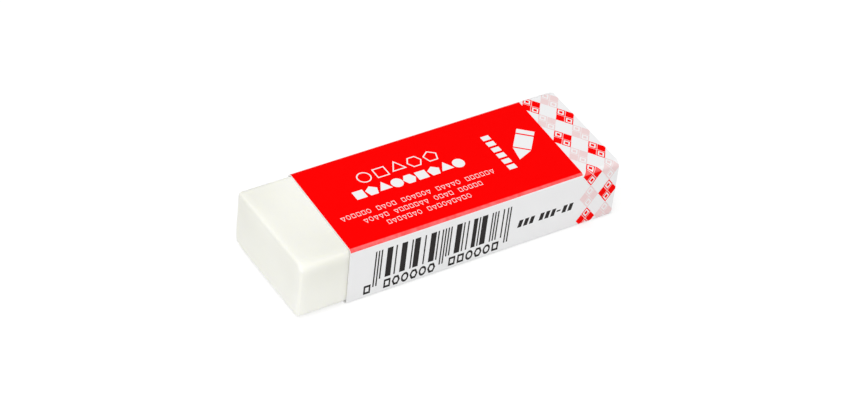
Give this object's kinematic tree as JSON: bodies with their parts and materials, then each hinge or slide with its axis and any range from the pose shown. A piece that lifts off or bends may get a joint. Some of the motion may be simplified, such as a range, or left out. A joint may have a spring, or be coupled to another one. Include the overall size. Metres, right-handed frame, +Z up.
{
  "type": "eraser",
  "caption": "Flat rectangular vinyl eraser block with soft rounded edges, in a folded card sleeve that slides along it and leaves one end bare.",
  "frame": {"origin": "on the surface it lies on, under the middle of the whole eraser, block and sleeve together", "axes": "+X along the block from its bare end to the end the sleeve covers, +Y to the back, away from the long side that carries the bars, +Z up"},
  "size_m": [0.0634, 0.022, 0.0121],
  "materials": {
    "vinyl": "soft white vinyl, smooth and matt with a faint sheen on the rounded edges",
    "printed_card": "thin folded card, printed red and white outside with a light gloss, bare pale card inside and on the cut edges"
  },
  "bodies": {
    "block": {"eraser_block": "vinyl"},
    "sleeve": {"card_sleeve": "printed_card"}
  },
  "joints": [
    {"name": "sleeve_slide", "type": "slide", "parent": "block", "child": "sleeve", "axis": [1, 0, 0], "range_m": [-0.0096, 0.054]}
  ]
}
